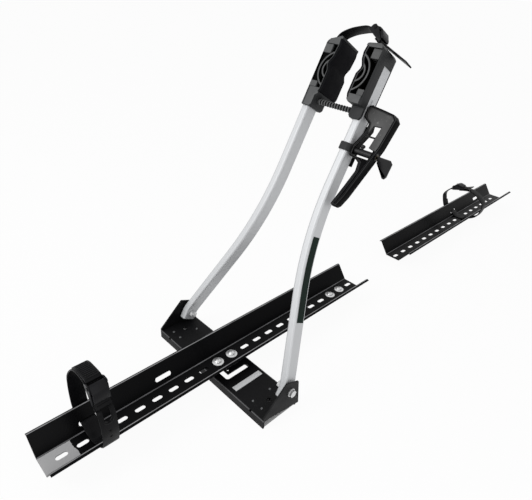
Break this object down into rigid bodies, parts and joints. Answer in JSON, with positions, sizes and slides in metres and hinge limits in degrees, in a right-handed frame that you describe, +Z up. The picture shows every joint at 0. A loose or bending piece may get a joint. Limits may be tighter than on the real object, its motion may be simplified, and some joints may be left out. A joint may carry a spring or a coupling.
{
  "type": "roof mounted bike carrier",
  "caption": "Roof bike carrier: slotted wheel rails on a pressed cross plate, folding tube arms with padded jaws, a locking lever and ratchet wheel straps.",
  "frame": {"origin": "middle of the cross plate's underside, where the front roof bar seats", "axes": "+X along the wheel rails toward the rear, +Y toward the carrier's left, +Z up"},
  "size_m": [1.661, 0.3312, 0.6237],
  "materials": {
    "gloss_black_steel": "gloss black stove enamel",
    "satin_black_steel": "satin black powder coat",
    "zinc_steel": "bright zinc plate",
    "anodised_tube": "satin silver anodised",
    "bare_plate": "plain silver",
    "dark_decal": "dark green-black film",
    "jaw_plastic": "moulded black",
    "pad_rubber": "black rubber",
    "strap_plastic": "flexible black",
    "buckle_plastic": "moulded black",
    "lever_plastic": "moulded black, slight sheen",
    "grey_panel": "mid-grey facing",
    "lock_brass": "plain brass"
  },
  "bodies": {
    "base": {"cross_plate": "satin_black_steel", "plate_rivets": "zinc_steel", "rating_plate": "bare_plate", "main_rail": "gloss_black_steel", "rail_bolts": "zinc_steel", "rail_washers": "zinc_steel", "rail_nuts": "zinc_steel", "pivot_bolts": "zinc_steel", "pivot_washers": "zinc_steel", "pivot_nuts": "zinc_steel", "front_band": "strap_plastic", "front_ladder": "strap_plastic", "front_buckle_frame": "buckle_plastic", "front_buckle_pin": "satin_black_steel"},
    "front_latch": {"front_buckle_lever": "buckle_plastic"},
    "arms": {"left_arm": "anodised_tube", "right_arm": "anodised_tube", "arm_plugs": "jaw_plastic", "arm_decal": "dark_decal", "left_jaw": "jaw_plastic", "right_jaw": "jaw_plastic", "left_pad": "pad_rubber", "right_pad": "pad_rubber", "tie_rod": "zinc_steel", "rod_sleeve": "pad_rubber", "jaw_ladder": "strap_plastic", "jaw_tab_strap": "strap_plastic", "jaw_buckle_frame": "buckle_plastic", "jaw_buckle_pin": "satin_black_steel", "arm_collar": "jaw_plastic", "pull_strip": "satin_black_steel", "lever_bracket": "jaw_plastic", "lever_pin": "zinc_steel"},
    "jaw_latch": {"jaw_buckle_lever": "buckle_plastic"},
    "lock_lever": {"lever": "lever_plastic", "lever_panel": "grey_panel", "lock_barrel": "lever_plastic", "barrel_stud": "lever_plastic"},
    "lock_key": {"lock_core": "lock_brass", "key": "lever_plastic"},
    "rear_track": {"rear_rail": "gloss_black_steel", "rear_band": "strap_plastic", "rear_ladder": "strap_plastic", "rear_buckle_frame": "buckle_plastic", "rear_buckle_pin": "satin_black_steel"},
    "rear_latch": {"rear_buckle_lever": "buckle_plastic"}
  },
  "joints": [
    {"name": "arms_fold", "type": "hinge", "parent": "base", "child": "arms", "pos_m": [0.025, 0, 0.028], "axis": [0, 1, 0], "range_deg": [-25, 54]},
    {"name": "lever_swing", "type": "hinge", "parent": "arms", "child": "lock_lever", "pos_m": [0.26835, -0.0755, 0.4762], "axis": [-0.8788, 0, 0.4772], "range_deg": [0, 85]},
    {"name": "key_turn", "type": "hinge", "parent": "lock_lever", "child": "lock_key", "pos_m": [0.234, -0.12, 0.41292], "axis": [0, 1, 0], "range_deg": [0, 90]},
    {"name": "jaw_latch_open", "type": "hinge", "parent": "arms", "child": "jaw_latch", "pos_m": [0.33342, -0.01751, 0.59605], "axis": [-0.8788, 0, 0.4772], "range_deg": [0, 70]},
    {"name": "front_latch_open", "type": "hinge", "parent": "base", "child": "front_latch", "pos_m": [-0.2655, -0.03249, 0.14962], "axis": [-1, 0, 0], "range_deg": [0, 70]},
    {"name": "rear_rail_slide", "type": "slide", "parent": "base", "child": "rear_track", "axis": [1, 0, 0], "range_m": [-0.19, 0]},
    {"name": "rear_latch_open", "type": "hinge", "parent": "rear_track", "child": "rear_latch", "pos_m": [1.024, 0.04324, 0.10311], "axis": [-1, 0, 0], "range_deg": [0, 70]}
  ]
}
